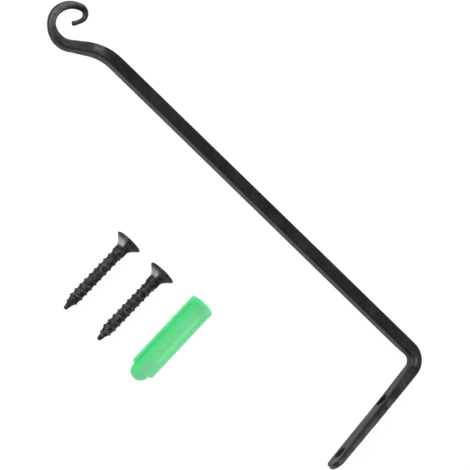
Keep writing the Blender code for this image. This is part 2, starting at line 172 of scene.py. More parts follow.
# %% Helpers for recipes
def new_recipe(title, inputs):
    """An empty Geometry Nodes tree with an input for each value given, and a wire for each."""
    tree = bpy.data.node_groups.new(title, "GeometryNodeTree")
    for way in ("INPUT", "OUTPUT"):
        tree.interface.new_socket("Geometry", in_out=way, socket_type="NodeSocketGeometry")
    for label, value in inputs.items():
        kind = "NodeSocket" + type(value).__name__.capitalize()
        tree.interface.new_socket(label, in_out="INPUT", socket_type=kind)
    source = tree.nodes.new("NodeGroupInput")
    return tree, {socket.name: Wire(tree, socket) for socket in source.outputs if socket.name}


def end_recipe(shape, finish):
    """Close a recipe: plain geometry only, smooth faces and the piece's finish."""
    plain = shape.step("SetShadeSmooth").step("RealizeInstances")
    painted = plain.step("SetMaterial", Material=finish)
    sink = shape.tree.nodes.new("NodeGroupOutput")
    shape.tree.links.new(painted.socket, sink.inputs["Geometry"])


def noted_mesh(title, points, closed, notes):
    """A line of points joined by edges, with notes stored on the points."""
    mesh = bpy.data.meshes.new(title)
    count = len(points)
    edges = [(index, (index + 1) % count) for index in range(count if closed else count - 1)]
    mesh.from_pydata([tuple(point) for point in points], edges, [])
    for label, values in notes.items():
        values = np.asarray(values, np.float32)
        wide = values.ndim == 2
        layer = mesh.attributes.new(label, "FLOAT_VECTOR" if wide else "FLOAT", "POINT")
        layer.data.foreach_set("vector" if wide else "value", values.ravel())
    return mesh


def add_object(title, data):
    """Link a mesh, a lamp or a camera into the scene as an object."""
    item = bpy.data.objects.new(title, data)
    scene.collection.objects.link(item)
    return item


def turned_by(heading_deg, lean_deg, roll_deg):
    """A turn: first a roll about Z, then a lean about X, then a heading about Z."""
    turns = zip((heading_deg, lean_deg, roll_deg), "ZXZ")
    heading, lean, roll = (Matrix.Rotation(math.radians(turn), 4, axis) for turn, axis in turns)
    return heading @ lean @ roll


def evaluated(item):
    """An object's mesh after its modifiers, and the object itself removed."""
    bpy.context.view_layer.update()
    graph = bpy.context.evaluated_depsgraph_get()
    mesh = bpy.data.meshes.new_from_object(item.evaluated_get(graph), depsgraph=graph)
    bpy.data.objects.remove(item, do_unlink=True)
    return mesh


def follow(tree, start, inputs, place, kept_notes):
    """Run a recipe from a starting mesh, and give its result as a plain mesh in its place."""
    raw = add_object("recipe_start", start)
    modifier = raw.modifiers.new("recipe", "NODES")
    modifier.node_group = tree
    for item in tree.interface.items_tree:
        if item.in_out == "INPUT" and item.name in inputs:
            modifier[item.identifier] = inputs[item.name]
    mesh = evaluated(raw)
    for layer in [layer.name for layer in mesh.attributes if layer.name[0] != "."]:
        if layer not in kept_notes and not mesh.attributes[layer].is_required:
            mesh.attributes.remove(mesh.attributes[layer])
    mesh.materials.clear()
    mesh.materials.append(inputs["Finish"])
    mesh.transform(place)
    return mesh


def outward(mesh):
    """Turn a closed mesh's faces to point outwards, and give its volume."""
    shape = bmesh.new()
    shape.from_mesh(mesh)
    volume = shape.calc_volume(signed=True)
    if volume < 0:
        bmesh.ops.reverse_faces(shape, faces=shape.faces)
    open_edges = sum(not edge.is_manifold for edge in shape.edges)
    shape.to_mesh(mesh)
    shape.free()
    print(mesh.name, len(mesh.polygons), "faces,", open_edges, "open edges,", "volume", abs(volume))


def finish_piece(title, mesh, body, node):
    """Name a piece, let it ride on its body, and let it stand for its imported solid."""
    mesh.name = title
    outward(mesh)
    piece = add_object(title, mesh)
    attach(piece, body)
    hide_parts(node)
    return piece


print("recipes end in Realize Instances and Set Material")

# %% [markdown]
# ## Black satin paint
#
# The hanger is painted black over hammered iron. Paint of this kind is never one flat colour: it
# is a little greyer where it lies thin, its gloss wanders with the film's thickness, and a fine
# orange peel breaks up its reflections. Noise in the shader gives that, sharp at any distance.
#
# Four notes come with the mesh: "run", the distance along the bar, "across", which goes from -1 on
# one side of the bar to 1 on the other, "arris", how near a point is to one of its four edges, and
# "bore", which is 1 inside the screw holes, where painted shade makes the paint darker. The first
# two place a few painted highlights: lighter patches, kept to the bar's upper faces, that stand for
# lamps glinting there. Each has its middle and reach along the bar in metres, its middle and reach
# across it in half widths, and a strength.

# %% Black satin paint
def new_finish(title, fixed):
    """A Principled material with its constants set, a blank wire, and the place on the piece."""
    material = bpy.data.materials.new(title)
    material.use_nodes = True
    shader = material.node_tree.nodes["Principled BSDF"]
    for label, value in fixed.items():
        shader.inputs[label].default_value = value
    wire = Wire(material.node_tree)
    return material, shader, wire, wire.node("ShaderNodeTexCoord", output="Object")


def mesh_note(wire, label):
    """In a shader, a note that the mesh holds on its points."""
    return wire.node("ShaderNodeAttribute", {"attribute_name": label}, output="Fac")


def noise(wire, place, size, detail=2.0, roughness=0.5):
    """Noise whose blots are about size across, from 0 to 1."""
    values = {"Vector": place, "Scale": 1.0 / size, "Detail": detail, "Roughness": roughness}
    return wire.node("ShaderNodeTexNoise", None, values)


def blend(wire, share, first, second):
    """The first colour where share is 0, and the second where it is 1."""
    values = {"Factor_Float": share, "A_Color": first, "B_Color": second}
    mix = wire.node("ShaderNodeMix", {"data_type": "RGBA"}, values)
    return Wire(wire.tree, mix.socket.node.outputs[2])


def drive(shader, label, wire):
    """Link a wire to a socket of the shader."""
    wire.tree.links.new(wire.socket, shader.inputs[label])


def bumped(wire, height, depth):
    """A normal that follows height, where 1 stands depth above 0."""
    return wire.node("ShaderNodeBump", None, {"Height": height, "Distance": depth, "Strength": 1.0})


PAINT_THICK = (0.0055, 0.0055, 0.0060, 1)
PAINT_THIN = (0.0125, 0.0125, 0.0130, 1)
PAINT_WORN = (0.030, 0.029, 0.028, 1)
# The next colour is a painted highlight, and the pair of heights after it keeps that highlight to
# the bar's upper faces.
PAINT_HIGHLIGHT = (0.115, 0.115, 0.118, 1)
PAINT_SHADED = (0.003, 0.003, 0.003, 1)
HIGHLIGHT_HEIGHT = (0.0044, 0.0054)

# Each entry below is a painted highlight: where it lies along and across the bar, and how strong it
# is.
PaintedHighlight = namedtuple("PaintedHighlight", "run reach across width strength")
PAINTED_HIGHLIGHTS = (
    PaintedHighlight(0.2948, 0.0044, -0.2, 1.35, 1.45),
    PaintedHighlight(0.0430, 0.0032, -0.6, 1.60, 0.90),
    PaintedHighlight(0.0200, 0.0340, -1.1, 2.00, 0.80),
    PaintedHighlight(0.0560, 0.0110, -0.2, 2.00, 0.35),
    PaintedHighlight(0.0692, 0.0036, 0.3, 0.80, 1.60),
    PaintedHighlight(0.3345, 0.0180, 0.4, 2.20, 1.45),
)


def black_paint():
    """Satin black paint over hammered iron, with painted highlights on the bar and painted shade in
    the holes.
    """
    material, shader, wire, place = new_finish("satin_black_paint", {"IOR": 1.5, "Metallic": 0.0})
    labels = ("run", "across", "arris", "bore")
    run, across, arris, bore = (mesh_note(wire, label) for label in labels)
    cloud = noise(wire, place, 0.011, 3.0)
    blots = noise(wire, place, 0.0026, 3.0, 0.6)
    peel = noise(wire, place, 0.00055, 1.0)
    thin = (cloud * 0.6 + blots * 0.4).rise(0.38, 0.66)
    colour = blend(wire, thin, PAINT_THICK, PAINT_THIN)
    worn = arris * blots.rise(0.5, 0.75)
    colour = blend(wire, worn * 0.5, colour, PAINT_WORN)
    height = place.parts()[2]
    # Painted highlights: lighter patches on the upper faces, where the lamps would glint.
    highlight_spread = height.rise(*HIGHLIGHT_HEIGHT) * (0.4 + 0.6 * blots.rise(0.35, 0.6))
    for highlight in PAINTED_HIGHLIGHTS:
        near = 1.0
        for off, limit in ((run - highlight.run, highlight.reach), (across - highlight.across, highlight.width)):
            near = near * (1.0 - off.maths("ABSOLUTE", off).rise(0.0, limit))
        colour = blend(wire, near * highlight_spread * highlight.strength, colour, PAINT_HIGHLIGHT)
    # Painted shade: the paint is darkened inside the screw holes, where they lie in shade.
    drive(shader, "Base Color", blend(wire, bore, colour, PAINT_SHADED))
    drive(shader, "Roughness", 0.36 + thin * 0.14 + (peel - 0.5) * 0.08 + bore * 0.4)
    drive(shader, "Normal", bumped(wire, peel * 0.35 + blots, 0.00005))
    return material


satin_black = black_paint()
print("finish:", satin_black.name)

# %% [markdown]
# ## The bar's path
#
# The hanger is one square bar, so its shape is a path and a section that changes along it. The
# smith flattened one end into the foot, bent it square, rose the other end out of line, drew it
# thin and curled it into a scroll. Each of these is a leg of the path: its length, its turn, and
# what the section has become at its end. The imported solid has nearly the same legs, and here they
# are walked in steps of about half a millimetre.

# %% The bar's legs
BAR = 0.0064
BEND_TURN_DEG = 92.0
BEND_RADIUS = 0.0073
FOOT_LENGTH = 0.0753
FOOT_ROUND = 0.0047
HOLES_DOWN = (0.0323, 0.0667)
HOLE_RADIUS = 0.00335
SHARP = 0.17
BLUNT = 0.72
STEP = 0.00055
END_STEPS = 26

Leg = namedtuple("Leg", "length turn_deg thickness width roundness twist_deg wall_share")


def arc(radius, turn_deg, side, roundness, twist_deg=0.0):
    """A leg that follows an arc and ends with a square section."""
    length = radius * math.radians(abs(turn_deg))
    return Leg(length, turn_deg, side, side, roundness, twist_deg, 0.0)


slope = math.radians(BEND_TURN_DEG - 90.0)
crossing = BAR / 2 * (1 + math.sin(slope)) / math.cos(slope)
foot_top = crossing + BEND_RADIUS * math.tan(math.radians(BEND_TURN_DEG) / 2)
legs = (
    Leg(FOOT_LENGTH - FOOT_ROUND - HOLES_DOWN[0], 0.0, 0.0043, 0.0102, 0.40, 0.0, 1.0),
    Leg(HOLES_DOWN[0] - foot_top, 0.0, 0.0058, 0.0070, SHARP, 0.0, 1.0),
    arc(BEND_RADIUS, BEND_TURN_DEG, BAR, SHARP),
    Leg(0.2071, 0.0, BAR, BAR, SHARP, 0.0, 0.0),
    arc(0.0290, 33.6, 0.0055, SHARP, 18.0),
    Leg(0.0092, 0.0, 0.0050, 0.0050, 0.28, 18.0, 0.0),
    arc(0.0114, -37.0, 0.0048, 0.45, 14.0),
    arc(0.0114, -37.0, 0.0037, 0.60, 16.0),
    arc(0.0087, -63.6, 0.0041, 0.75, 24.0),
    arc(0.0122, -61.2, 0.0035, 0.85, 34.0),
    arc(0.0035, -122.6, 0.0021, 0.60, 36.0),
    arc(0.0123, -25.4, 0.0019, 0.50, 36.0),
)
print("the bar is", round(sum(leg.length for leg in legs) + FOOT_ROUND, 4), "m long")

# %% [markdown]
# ## Walking the legs
#
# At each step the walk notes the place, the direction across the bar, and the section's sizes.
# The foot lies flat against the wall, so its front face moves in as it gets thinner. Its round
# end is half an oval with a softened edge, and the scroll's tip is cut off square.

# %% Walk the legs
TOE_THICKNESS = 0.0026
TOE_WIDTH = 0.0138
TOE_OVAL_POWER = 0.8
TOE_EDGE = 0.0006
TOE_THINNING = 0.45


def walk():
    """Rows of x, y, heading, thickness, width, roundness, twist, wall share and run."""
    rows = []
    for step in range(1, END_STEPS + 1):
        angle = math.pi / 2 * step / END_STEPS
        in_from_end = FOOT_ROUND * (1 - math.cos(angle))
        soft = 1.0 - TOE_THINNING * (1.0 - min(1.0, in_from_end / TOE_EDGE)) ** 2
        spot = [BAR / 2, FOOT_LENGTH - in_from_end, -math.pi / 2]
        width = TOE_WIDTH * math.sin(angle) ** TOE_OVAL_POWER
        rows.append([*spot, TOE_THICKNESS * soft, width, legs[0].roundness, 0.0, 1.0, in_from_end])
    for leg in legs:
        x, y, heading, *sizes, run = rows[-1]
        goal = (leg.thickness, leg.width, leg.roundness, leg.twist_deg, leg.wall_share)
        steps = math.ceil(leg.length / STEP)
        stride = leg.length / steps
        turn = math.radians(leg.turn_deg) / steps
        for step in range(1, steps + 1):
            x += stride * math.cos(heading + turn / 2)
            y += stride * math.sin(heading + turn / 2)
            heading += turn
            run += stride
            mixed = [first + (last - first) * step / steps for first, last in zip(sizes, goal)]
            rows.append([x, y, heading, *mixed, run])
    return np.array(rows)


stations = walk()
print(len(stations), "stations, the last at", stations[-1, :2].round(4))

# %% [markdown]
# ## The bar's section
#
# A square with rounded edges can be written so that one outline serves every station: each of its
# points has a corner, from -1 to 1 across and up, and a direction in which the rounding pushes it
# out. The recipe multiplies these by the sizes noted on the path.

# %% The section's outline
CORNER_POINTS = 7
FLAT_POINTS = 8


def section_mesh():
    """The outline of the bar, as corners, rounding directions and nearness to an arris."""
    corners = ((1, 1), (-1, 1), (-1, -1), (1, -1))
    corner_notes, round_notes, arris_notes = [], [], []
    for number, (across, up) in enumerate(corners):
        next_across, next_up = corners[(number + 1) % 4]
        for step in range(CORNER_POINTS + FLAT_POINTS):
            round_share = min(1.0, step / (CORNER_POINTS - 1))
            share = max(0, step - CORNER_POINTS + 1) / (FLAT_POINTS + 1)
            x, y = across + (next_across - across) * share, up + (next_up - up) * share
            angle = math.pi / 2 * (number + round_share)
            corner_notes.append((x, y, 0))
            round_notes.append((math.cos(angle), math.sin(angle), 0))
            arris_notes.append(math.sin(math.pi * round_share))
    points = np.array(corner_notes) * BAR / 2 + np.array(round_notes) * BAR / 8
    notes = {"corner": corner_notes, "rounding": round_notes, "arris_place": arris_notes}
    return noted_mesh("bar_section", points, True, notes)


section = add_object("bar_section", section_mesh())
print("section points:", len(section.data.vertices))

# %% [markdown]
# ## Two punches for the screw holes
#
# A punched hole has soft lips, and the paint rounds them further. Each punch is a turned pin with
# a flare at the foot's back and another at its front, so the cut leaves a small chamfer on both.
# It is turned a little about its own axis, because a facet that lies along a line of the bar's
# mesh would leave slivers.

# %% Punches
LIP = 0.00015
PUNCH_OVERRUN = 0.003
PUNCH_SIDES = 64
PUNCH_TURN_DEG = 1.5
WELD = 0.000001
FOOT_STATIONS = END_STEPS + 120


def kept_mesh(title, shape):
    """A bmesh as a mesh."""
    mesh = bpy.data.meshes.new(title)
    shape.to_mesh(mesh)
    shape.free()
    return mesh


def turned_mesh(title, outline, sides):
    """A closed solid turned about Z, from radius and height pairs that start and end on Z."""
    shape = bmesh.new()
    points = [shape.verts.new((radius, 0.0, height)) for radius, height in outline]
    edges = [shape.edges.new(pair) for pair in zip(points, points[1:])]
    bmesh.ops.spin(
        shape, geom=points + edges, cent=(0, 0, 0), axis=(0, 0, 1),
        angle=math.tau, steps=sides, use_merge=True,
    )
    bmesh.ops.remove_doubles(shape, verts=shape.verts, dist=WELD)
    bmesh.ops.recalc_face_normals(shape, faces=shape.faces)
    return kept_mesh(title, shape)


def punches_mesh():
    """Both punches, lying along X through the foot."""
    joined = bmesh.new()
    wide = HOLE_RADIUS + LIP + PUNCH_OVERRUN
    laid = Matrix.Rotation(math.pi / 2, 4, "Y") @ turned_by(0, 0, PUNCH_TURN_DEG)
    along, thicknesses = stations[:FOOT_STATIONS, (1, 3)].T
    for down in HOLES_DOWN:
        thickness = float(np.interp(-down, -along, thicknesses))
        top = thickness + PUNCH_OVERRUN
        outline = (
            (0.0, -PUNCH_OVERRUN), (wide, -PUNCH_OVERRUN), (HOLE_RADIUS, LIP),
            (HOLE_RADIUS, thickness - LIP), (wide, top), (0.0, top),
        )
        pin = turned_mesh("punch", outline, PUNCH_SIDES)
        pin.transform(Matrix.Translation((0, down, 0)) @ laid)
        joined.from_mesh(pin)
        bpy.data.meshes.remove(pin)
    return kept_mesh("punches", joined)


punches = add_object("punches", punches_mesh())
print("punch faces:", len(punches.data.polygons))

# %% [markdown]
# ## The recipe for the bar
#
# Curve to Mesh joins path and section, and every point of the result keeps the notes of both. The
# recipe then puts each point where the notes say, and hammers the surface: soft dents and a slow
# waviness push the points in and out along their normals. The dents are on the foot and the
# scroll, which were worked hot, and the arm keeps only a faint waviness. Last, the punches cut the
# holes, and the walls of the holes are noted for the paint.

# %% The recipe for the bar
SHADE_WHOLE = 0.00003
SHADE_END = 0.00012


def bar_recipe(inputs):
    """Sweep the section along the path, hammer it and punch its holes."""
    tree, given = new_recipe("forged_bar", inputs)
    wire = Wire(tree)
    note = wire.note
    path = given["Geometry"].step("MeshToCurve")
    outline = wire.node("GeometryNodeObjectInfo", None, {"Object": given["Section"]}, "Geometry")
    ends = {"Profile Curve": outline.step("MeshToCurve"), "Fill Caps": True}
    bar = path.step("CurveToMesh", **ends)

    corner_x, corner_y, _ = note("corner", True).parts()
    round_x, round_y, _ = note("rounding", True).parts()
    inner = corner_x.maths("MAXIMUM", corner_x, 0.0)
    radius = note("corner_radius") * (1.0 + note("inner_round") * inner)
    half_width = note("half_width") * (1.0 + note("flare") * corner_x)
    across = corner_x * (note("half_thickness") - radius) + round_x * radius
    up = corner_y * (half_width - radius) + round_y * radius
    place = note("centre", True) + note("side", True) * across + note("upright", True) * up
    bar = bar.step("SetPosition", Position=place)

    here = wire.node("GeometryNodeInputPosition")
    cells = wire.node(
        "ShaderNodeTexVoronoi", {"feature": "SMOOTH_F1"},
        {"Vector": here, "Scale": 1.0 / given["Dent size"], "Smoothness": 0.6, "Randomness": 1.0},
    )
    waves = wire.node(
        "ShaderNodeTexNoise", None,
        {"Vector": here, "Scale": 1.0 / given["Wave size"], "Detail": 1.0},
    )
    worked = note("worked")
    dents = (cells - 0.45) * given["Dent depth"] * worked
    swell = (waves - 0.5) * given["Wave depth"] * (0.3 + 0.7 * worked)
    push = wire.node("GeometryNodeInputNormal") * (dents + swell)
    bar = bar.step("SetPosition", Offset=push)
    bar = bar.stamped("arris", note("arris_place") * note("sharpness"))
    bar = bar.stamped("across", corner_x)

    bar = bar.less(given["Punches"])
    _, down, rise = wire.node("GeometryNodeInputPosition").parts()
    holes = []
    for label in ("Upper hole", "Lower hole"):
        off = down - given[label]
        squared = off * off + rise * rise
        holes.append(squared.maths("SQRT", squared))
    nearest = holes[0].maths("MINIMUM", *holes)
    inside = 1.0 - nearest.rise(HOLE_RADIUS + SHADE_WHOLE, HOLE_RADIUS + SHADE_END)
    end_recipe(bar.stamped("bore", inside), given["Finish"])
    return tree


bar_inputs = {
    "Section": section, "Punches": punches, "Dent depth": 0.00016, "Dent size": 0.0034,
    "Wave depth": 0.00012, "Wave size": 0.0090, "Upper hole": HOLES_DOWN[0],
    "Lower hole": HOLES_DOWN[1], "Finish": satin_black,
}
forging = bar_recipe(bar_inputs)
print("recipe:", forging.name, "with", len(forging.nodes), "nodes")

# %% [markdown]
# ## Forge the bar
#
# The notes for each station are worked out from the walk. The scroll and the foot count as worked
# iron. At the bend the metal is squeezed on the inside and stretched on the outside, so the
# section flares there. The foot is a little thicker than its legs say, mostly at its back, narrows
# towards its front, and bows towards the wall shortly before the bend.
#
# A hand-curled scroll is no chain of perfect arcs, so nudges move its middle line by some tenths
# of a millimetre: each row is a distance past the arm, then a shift along X and one along Y. The
# finished bar is rolled to where it rests on the table.

# %% Forge the bar
HANGER_PLACE = (-0.1301013, -0.0576417, 0.0032019)
HANGER_TILT_DEG = 3.3675
BEND_FLARE = 0.05
BEND_FLARE_REACH = 0.006
BEND_INNER_ROUND = 3.6
BEND_ROUND_REACH = 0.0075
BOW = 0.00022
BOW_BEFORE_BEND = 0.017
BOW_REACH = 0.009
FOOT_BEFORE_BEND = 0.018
FOOT_FADE = 0.014
FOOT_SHIFT = 0.00016
FOOT_SWELL = 0.00012
FOOT_NARROWING = 0.05
FOOT_FLARE = -0.08
FOOT_WORKED_FROM = 0.012
FOOT_WORKED_FADE = 0.01
HOOK_WORKED_FADE = 0.02


def bump_at(run, middle, reach):
    """1 at a distance along the bar, falling off over a reach."""
    return np.exp(-((run - middle) / reach) ** 2)


NUDGES = (
    (0.000, 0.00000, 0.00000), (0.006, -0.00003, 0.00004), (0.012, -0.00013, 0.00014),
    (0.018, -0.00017, 0.00018), (0.026, -0.00019, 0.00018), (0.032, -0.00028, 0.00016),
    (0.038, -0.00042, 0.00012), (0.046, -0.00062, 0.00007), (0.054, -0.00068, 0.00004),
    (0.064, -0.00060, 0.00010), (0.072, -0.00048, 0.00018), (0.080, -0.00046, 0.00018),
)


def path_notes():
    """The notes that the recipe reads at each station."""
    x, y, heading, thickness, width, roundness, twist, wall_share, run = stations.T
    flat = np.zeros_like(x)
    left = np.stack([-np.sin(heading), np.cos(heading), flat], axis=1)
    level = np.array((0.0, 0.0, 1.0))
    centre = np.stack([x, y, flat], axis=1) - left * (wall_share * (BAR - thickness) / 2)[:, None]
    lean = np.radians(twist)[:, None]
    side = left * np.cos(lean) + level * np.sin(lean)
    upright = level * np.cos(lean) - left * np.sin(lean)
    bend = legs[0].length + legs[1].length + legs[2].length / 2 + FOOT_ROUND
    centre -= left * (BOW * bump_at(run, bend - BOW_BEFORE_BEND, BOW_REACH))[:, None]
    hook = sum(leg.length for leg in legs[:4]) + FOOT_ROUND
    nudge_run, *nudges = np.array(NUDGES).T
    for axis, nudge in enumerate(nudges):
        centre[:, axis] += np.interp(run - hook, nudge_run, nudge)
    worked = np.clip((bend - FOOT_WORKED_FROM - run) / FOOT_WORKED_FADE, 0, 1)
    worked += np.clip((run - hook) / HOOK_WORKED_FADE, 0, 1)
    half = np.minimum(thickness, width) / 2
    on_foot = np.clip((bend - FOOT_BEFORE_BEND - run) / FOOT_FADE, 0, 1)
    centre -= left * (FOOT_SHIFT * on_foot)[:, None]
    blunt = np.clip((roundness - SHARP) / (BLUNT - SHARP), 0, 1)
    return centre, {
        "centre": centre, "side": side, "upright": upright, "worked": worked, "run": run,
        "half_thickness": thickness / 2 + FOOT_SWELL * on_foot,
        "half_width": width / 2 * (1 - FOOT_NARROWING * on_foot),
        "corner_radius": half * roundness,
        "flare": BEND_FLARE * bump_at(run, bend, BEND_FLARE_REACH) + FOOT_FLARE * on_foot,
        "inner_round": BEND_INNER_ROUND * bump_at(run, bend, BEND_ROUND_REACH),
        "sharpness": 1.0 - 0.9 * blunt,
    }


centres, notes = path_notes()
arm_axis = Vector((math.cos(slope), math.sin(slope), 0.0))
tilt = Matrix.Rotation(math.radians(HANGER_TILT_DEG), 4, arm_axis)
bar_path = noted_mesh("bar_path", centres, False, notes)
bar_mesh = follow(
    forging, bar_path, bar_inputs, Matrix.Translation(HANGER_PLACE) @ tilt,
    ("run", "arris", "across", "bore"),
)
for helper in (section, punches):
    bpy.data.objects.remove(helper, do_unlink=True)
bar = finish_piece("forged_bar", bar_mesh, "hanger", "forged_hanger")
print("bar", [round(v, 4) for v in bar.dimensions], "packed box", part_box("forged_hanger"))

# %% [markdown]
# ## Black oxide
#
# The screws are steel blackened in a hot salt bath, which leaves a thin, nearly black skin over the
# metal's own gloss: flanks glint grey where the skin is rubbed. So the material is part metallic,
# and smoother where noise says that it is rubbed. The note "crest" rises to 1 along the thread's
# ridge, which is rubbed a little more. The turned cone of the head carries a painted highlight: one
# soft light grey streak on one side, laid on by a second note that rises to 1 along it, and made
# more metallic there as well.

# %% Black oxide
OXIDE_WHOLE = (0.002, 0.002, 0.002, 1)
OXIDE_RUBBED = (0.074, 0.074, 0.074, 1)
# Painted highlight: this light grey is laid as a streak on one side of the head's cone.
OXIDE_PAINTED_HIGHLIGHT = (0.430, 0.430, 0.435, 1)


def black_oxide():
    """A dark oxide skin, rubbed to grey steel in places, with a painted highlight on the head's
    cone.
    """
    material, shader, wire, place = new_finish("black_oxide_skin", {"IOR": 1.45})
    crest, cone = mesh_note(wire, "crest"), mesh_note(wire, "cone")
    patches = noise(wire, place, 0.0020, 3.0, 0.6)
    grain = noise(wire, place, 0.00035, 2.0)
    rubbed = (patches + crest * 0.04).rise(0.40, 0.66)
    colour = blend(wire, rubbed, OXIDE_WHOLE, OXIDE_RUBBED)
    # Painted highlight: the cone's streak turns light grey.
    drive(shader, "Base Color", blend(wire, cone, colour, OXIDE_PAINTED_HIGHLIGHT))
    drive(shader, "Metallic", 0.10 + rubbed * 0.3 + cone * 0.5)
    drive(shader, "Roughness", 0.50 - rubbed * 0.12 - cone * 0.04 + (grain - 0.5) * 0.12)
    drive(shader, "Normal", bumped(wire, grain + patches * 0.5, 0.00004))
    return material


oxide = black_oxide()
print("finish:", oxide.name)

# %% [markdown]
# ## The screw's outline
#
# A screw is turned, so its body is an outline spun about its axis. The head has a thin rim and a
# hollow cone, the thick neck runs into the thread's core, and the core tapers to a blunt nose.
# Each point notes its radius, its depth below the head's top, how high the thread stands there, and
# how strong the painted highlight on the cone is.

# %% The screw's outline
SCREW_LENGTH = 0.0462
HEAD_RADIUS = 0.0071
HEAD_RIM = 0.0010
HEAD_CONE = 0.0039
HEAD_HOLLOW = 0.0004
NECK_RADIUS = 0.00330
NECK_END = 0.0080
CORE_RADIUS = 0.00268
CORE_START = 0.0096
THREAD_RADIUS = 0.00335
THREAD_PITCH = 0.0034
THREAD_START = 0.0066
THREAD_FADE_SHARE = 0.7
THREAD_STOP_SHARE = 2.2
TIP_TAPER = 0.0078
TIP_RADIUS = 0.00115
TIP_SWELL = 0.00025
TIP_EASE = 0.0012
OUTLINE_STEP = 0.00014


def screw_outline():
    """Radius, depth, thread height and painted cone highlight at each point, from head to nose."""
    rim = HEAD_RIM / 2
    corners = [(0.0, 0.0)]
    for angle in np.linspace(math.pi / 2, -math.pi / 4, 9):
        corners.append((HEAD_RADIUS - rim + rim * math.cos(angle), rim - rim * math.sin(angle)))
    for share in np.linspace(0, 1, 13)[1:]:
        straight = HEAD_RADIUS - rim / 2 + (NECK_RADIUS - HEAD_RADIUS + rim / 2) * share
        hollow = HEAD_HOLLOW * math.sin(math.pi * share)
        corners.append((straight - hollow, HEAD_RIM + HEAD_CONE * share))
    taper_start = SCREW_LENGTH - TIP_TAPER
    corners += [(NECK_RADIUS, NECK_END), (CORE_RADIUS, CORE_START), (CORE_RADIUS, taper_start)]
    nose = SCREW_LENGTH - TIP_RADIUS
    for share in np.linspace(0, 1, 9)[1:-1]:
        swell = TIP_SWELL * math.sin(math.pi * share)
        radius = CORE_RADIUS + (TIP_RADIUS - CORE_RADIUS) * share + swell
        corners.append((radius, taper_start + (nose - TIP_EASE - taper_start) * share))
    for angle in np.linspace(0, math.pi / 2, 9):
        corners.append((TIP_RADIUS * math.cos(angle), nose + TIP_RADIUS * math.sin(angle)))
    corners = np.array(corners)
    spots = np.concatenate([[0], np.cumsum(np.hypot(*np.diff(corners, axis=0).T))])
    walked = np.union1d(spots, np.arange(0, spots[-1], OUTLINE_STEP))
    radius, depth = (np.interp(walked, spots, corners[:, side]) for side in range(2))
    grow = np.clip((depth - THREAD_START) / THREAD_PITCH, 0, 1)
    thread_end = SCREW_LENGTH - TIP_RADIUS * THREAD_STOP_SHARE
    fade = np.clip((thread_end - depth) / (THREAD_PITCH * THREAD_FADE_SHARE), 0, 1)
    room = THREAD_RADIUS - np.clip(radius, CORE_RADIUS, NECK_RADIUS)
    height = room * np.sqrt(grow * fade)
    down_cone = np.clip((depth - HEAD_RIM) / HEAD_CONE, 0, 1)
    # The strength of the cone's painted highlight: none at the rim, full from halfway down the
    # cone, and none on the neck and shaft.
    cone = np.where(down_cone < 1, np.clip(down_cone * 2.4 - 0.25, 0, 1), 0)
    return radius, depth, height, cone


outline_radius, outline_depth, thread_height, painted_cone_highlight = screw_outline()
print("outline points:", len(outline_radius))

# %% [markdown]
# ## The driver recess
#
# The cross that the driver fits is cut by a solid cross that narrows as it goes down. It is lofted
# from a few level outlines, top to bottom.

# %% The driver recess
RECESS_LONG = 0.0032
RECESS_NARROW = 0.00065
RECESS_DEPTH = 0.0026
RECESS_OVERRUN = 0.002
RECESS_END_SHARE = 0.45


def lofted(title, outlines):
    """Skin closed outlines that all have the same number of points, and cap both ends."""
    shape = bmesh.new()
    rings = [[shape.verts.new(point) for point in outline] for outline in outlines]
    for ring, following in zip(rings, rings[1:]):
        for index in range(len(ring)):
            after = (index + 1) % len(ring)
            shape.faces.new((ring[index], ring[after], following[after], following[index]))
    shape.faces.new(rings[0][::-1])
    shape.faces.new(rings[-1])
    bmesh.ops.recalc_face_normals(shape, faces=shape.faces)
    return kept_mesh(title, shape)


def recess_mesh():
    """The tapered cross."""
    long, narrow = RECESS_LONG, RECESS_NARROW
    arm = ((long, -narrow), (long, narrow), (narrow, narrow))
    quarters = [Matrix.Rotation(quarter * math.pi / 2, 2) for quarter in range(4)]
    cross = [quarter @ Vector(point) for quarter in quarters for point in arm]
    levels = ((RECESS_OVERRUN, 1.0), (0.0, 1.0), (-RECESS_DEPTH, RECESS_END_SHARE))
    return lofted("recess", [
        [(x * share, y * share, height) for x, y in cross] for height, share in levels
    ])


recess = add_object("recess", recess_mesh())
print("recess depth", RECESS_DEPTH)

# %% [markdown]
# ## The recipe for a screw
#
# Sweeping the outline round a circle gives every point an angle as well. The thread is then a rule:
# a ridge stands wherever depth and angle together have gone a whole number of turns, as winding
# does. How near a point is to that ridge gives its height, the flanks reach over a share of half
# the pitch, and a power makes the crest sharp and the root wide, as on rolled threads. The painted
# highlight on the cone is kept to one side. The recess is cut last.

# %% The recipe for a screw
SCREW_SIDES = 72
CREST_POWER = 2.0
CREST_REACH = 0.72
CREST_WHOLE = 0.0005
THREAD_SHIFT = 0.0010
# Where round the head the cone's painted highlight lies, and how wide it is.
HIGHLIGHT_TURN_DEG = -4.0
HIGHLIGHT_COSINES = (0.60, 0.97)


